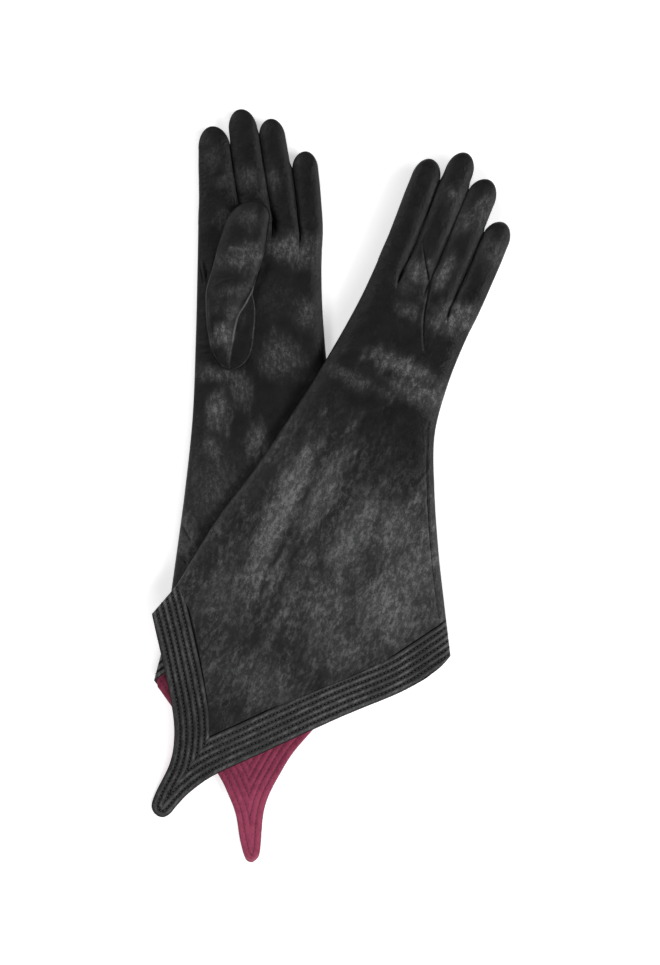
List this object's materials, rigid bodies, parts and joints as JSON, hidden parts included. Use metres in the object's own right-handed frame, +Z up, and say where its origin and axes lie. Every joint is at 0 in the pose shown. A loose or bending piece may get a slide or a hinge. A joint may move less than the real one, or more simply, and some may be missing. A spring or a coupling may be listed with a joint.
{
  "type": "pair of gauntlet gloves",
  "caption": "Pair of long leather gauntlet gloves with quilt-stitched, pointed cuffs and a coloured lining, laid flat one across the other.",
  "frame": {"origin": "middle of the pair's footprint, on the surface that it lies on", "axes": "+Y along the left glove towards its fingertips, +Z up away from the surface"},
  "size_m": [0.2353, 0.4964, 0.0183],
  "materials": {
    "black_leather": "soft semi-gloss nappa, with a fine grain and scuffs",
    "quilted_band": "soft semi-gloss nappa, stitched in parallel rows",
    "suede_lining": "matt brushed burgundy"
  },
  "bodies": {
    "left_glove": {"left_back_panel": "black_leather", "left_palm_panel": "black_leather", "left_back_band": "quilted_band", "left_palm_band": "quilted_band", "left_hand_lining": "suede_lining"},
    "left_thumb": {"left_thumb_outer": "black_leather", "left_thumb_inner": "black_leather", "left_thumb_lining": "suede_lining"},
    "left_index_finger": {"left_index_back": "black_leather", "left_index_palm": "black_leather", "left_index_fourchette_little_side": "black_leather", "left_index_lining": "suede_lining"},
    "left_middle_finger": {"left_middle_back": "black_leather", "left_middle_palm": "black_leather", "left_middle_fourchette_index_side": "black_leather", "left_middle_fourchette_little_side": "black_leather", "left_middle_lining": "suede_lining"},
    "left_ring_finger": {"left_ring_back": "black_leather", "left_ring_palm": "black_leather", "left_ring_fourchette_index_side": "black_leather", "left_ring_fourchette_little_side": "black_leather", "left_ring_lining": "suede_lining"},
    "left_little_finger": {"left_little_back": "black_leather", "left_little_palm": "black_leather", "left_little_fourchette_index_side": "black_leather", "left_little_lining": "suede_lining"},
    "right_glove": {"right_back_panel": "black_leather", "right_palm_panel": "black_leather", "right_back_band": "quilted_band", "right_palm_band": "quilted_band", "right_hand_lining": "suede_lining"},
    "right_thumb": {"right_thumb_outer": "black_leather", "right_thumb_inner": "black_leather", "right_thumb_lining": "suede_lining"},
    "right_index_finger": {"right_index_back": "black_leather", "right_index_palm": "black_leather", "right_index_fourchette_little_side": "black_leather", "right_index_lining": "suede_lining"},
    "right_middle_finger": {"right_middle_back": "black_leather", "right_middle_palm": "black_leather", "right_middle_fourchette_index_side": "black_leather", "right_middle_fourchette_little_side": "black_leather", "right_middle_lining": "suede_lining"},
    "right_ring_finger": {"right_ring_back": "black_leather", "right_ring_palm": "black_leather", "right_ring_fourchette_index_side": "black_leather", "right_ring_fourchette_little_side": "black_leather", "right_ring_lining": "suede_lining"},
    "right_little_finger": {"right_little_back": "black_leather", "right_little_palm": "black_leather", "right_little_fourchette_index_side": "black_leather", "right_little_lining": "suede_lining"}
  },
  "joints": [
    {"name": "right_glove_lift", "type": "slide", "parent": "left_glove", "child": "right_glove", "axis": [0, 0, 1], "range_m": [0, 0.15]},
    {"name": "left_thumb_swing", "type": "hinge", "parent": "left_glove", "child": "left_thumb", "pos_m": [-0.0672, 0.0997, 0.0138], "axis": [0, 0, 1], "range_deg": [0, 50]},
    {"name": "left_index_fold", "type": "hinge", "parent": "left_glove", "child": "left_index_finger", "pos_m": [-0.0754, 0.19112, 0.009], "axis": [0.9959, 0.0908, 0], "range_deg": [0, 90]},
    {"name": "left_middle_fold", "type": "hinge", "parent": "left_glove", "child": "left_middle_finger", "pos_m": [-0.0522, 0.1912, 0.009], "axis": [0.9876, 0.1567, 0], "range_deg": [0, 90]},
    {"name": "left_ring_fold", "type": "hinge", "parent": "left_glove", "child": "left_ring_finger", "pos_m": [-0.0325, 0.18637, 0.009], "axis": [0.9873, 0.159, 0], "range_deg": [0, 90]},
    {"name": "left_little_fold", "type": "hinge", "parent": "left_glove", "child": "left_little_finger", "pos_m": [-0.0148, 0.17819, 0.009], "axis": [0.9966, 0.0818, 0], "range_deg": [0, 90]},
    {"name": "right_thumb_swing", "type": "hinge", "parent": "right_glove", "child": "right_thumb", "pos_m": [0.02288, 0.08944, 0.0045], "axis": [0, 0, 1], "range_deg": [0, 50]},
    {"name": "right_index_fold", "type": "hinge", "parent": "right_glove", "child": "right_index_finger", "pos_m": [0.04608, 0.1622, 0.0183], "axis": [0.9369, -0.3496, 0], "range_deg": [0, 60]},
    {"name": "right_middle_fold", "type": "hinge", "parent": "right_glove", "child": "right_middle_finger", "pos_m": [0.06291, 0.15452, 0.0183], "axis": [0.93, -0.3675, 0], "range_deg": [0, 60]},
    {"name": "right_ring_fold", "type": "hinge", "parent": "right_glove", "child": "right_ring_finger", "pos_m": [0.07878, 0.14321, 0.0183], "axis": [0.9213, -0.389, 0], "range_deg": [0, 60]},
    {"name": "right_little_fold", "type": "hinge", "parent": "right_glove", "child": "right_little_finger", "pos_m": [0.09319, 0.12837, 0.0183], "axis": [0.9152, -0.4029, 0], "range_deg": [0, 60]}
  ]
}
